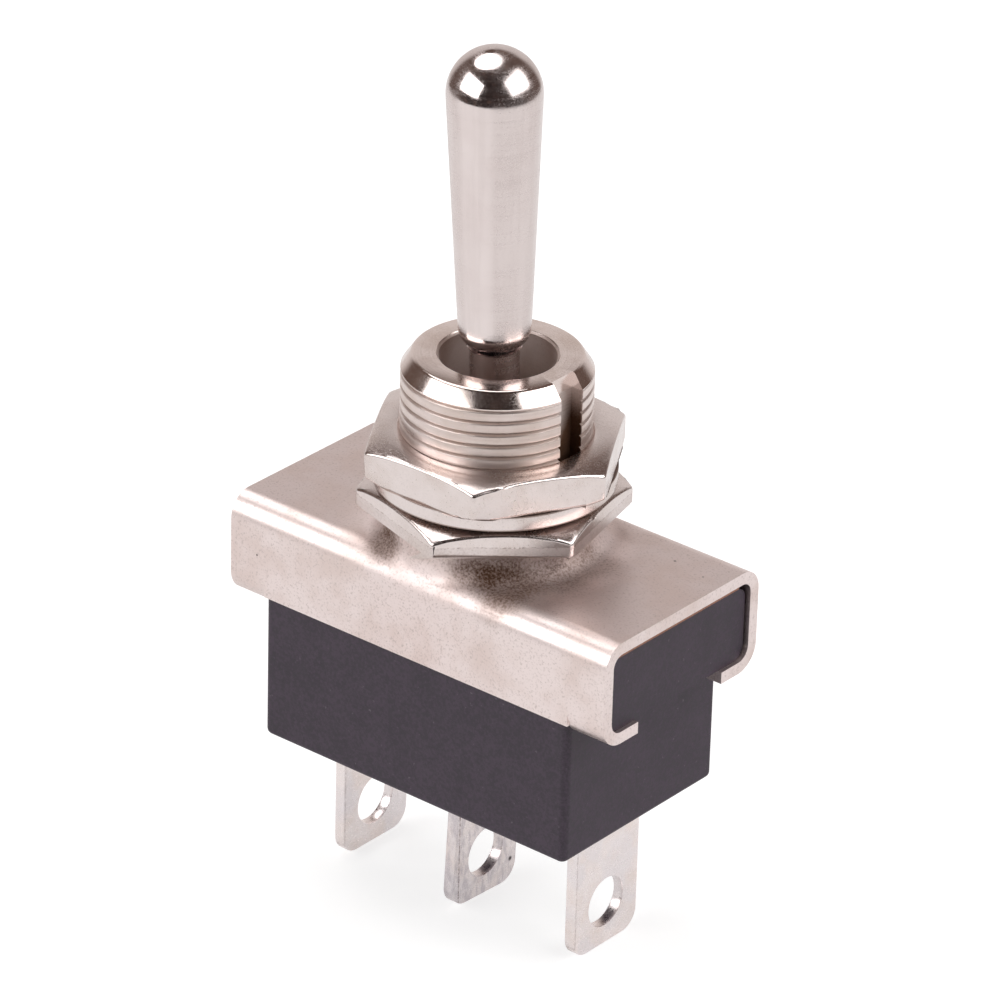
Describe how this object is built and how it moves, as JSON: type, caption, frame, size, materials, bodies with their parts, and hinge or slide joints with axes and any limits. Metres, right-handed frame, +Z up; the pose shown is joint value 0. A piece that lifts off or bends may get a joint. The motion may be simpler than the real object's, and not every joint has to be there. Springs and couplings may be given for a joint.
{
  "type": "panel toggle switch",
  "caption": "Bat-handle panel toggle switch with a threaded bush, hexagon nuts and a keyed washer, a folded metal frame round a black moulded base, and solder lugs.",
  "frame": {"origin": "on the axis of the threaded bush, at the top face of the front nut, where a panel slipped over the bush comes to rest", "axes": "+Z up the bush axis towards the lever's tip; +X along the frame, on the side of the bush's keyway; the lever swings in the XZ plane, about +Y"},
  "size_m": [0.03, 0.0168, 0.058],
  "materials": {
    "bright_nickel": "polished nickel plate on brass",
    "turned_nickel": "nickel plate over turned and punched faces",
    "satin_nickel": "satin nickel plate on steel sheet",
    "black_phenolic": "matt moulding",
    "tinned_brass": "hot-tinned sheet",
    "steel": "drawn wire",
    "nylon": "natural moulding",
    "fibre": "vulcanised fibre sheet",
    "brass": "rolled strip",
    "silver": "contact silver"
  },
  "bodies": {
    "housing": {"frame": "satin_nickel", "base": "black_phenolic", "insulating_card": "fibre", "bushing": "turned_nickel", "back_nut": "turned_nickel", "keyed_washer": "turned_nickel", "front_nut": "turned_nickel", "terminal_left": "tinned_brass", "terminal_centre": "tinned_brass", "terminal_right": "tinned_brass", "cradle": "brass", "fixed_contact_left": "silver", "fixed_contact_right": "silver"},
    "lever": {"lever": "bright_nickel", "pivot_pin": "steel", "plunger_spring": "steel"},
    "plunger": {"plunger": "nylon"},
    "rocker": {"rocker": "brass", "moving_contact_left": "silver", "moving_contact_right": "silver"}
  },
  "joints": [
    {"name": "lever_swing", "type": "hinge", "parent": "housing", "child": "lever", "pos_m": [0, 0, -0.004], "axis": [0, 1, 0], "range_deg": [-10.2, 13.8]},
    {"name": "rocker_tilt", "type": "hinge", "parent": "housing", "child": "rocker", "pos_m": [0, 0, -0.01837], "axis": [0, 1, 0], "range_deg": [-6.9, 5.1]},
    {"name": "plunger_slide", "type": "slide", "parent": "lever", "child": "plunger", "axis": [-0.0314, 0, 0.9995], "range_m": [0, 0.0008], "stiffness_N_per_m": 100, "deforming": ["plunger_spring"]}
  ],
  "couplings": [
    {"joint": "rocker_tilt", "follows": "lever_swing", "ratio": -0.5}
  ]
}
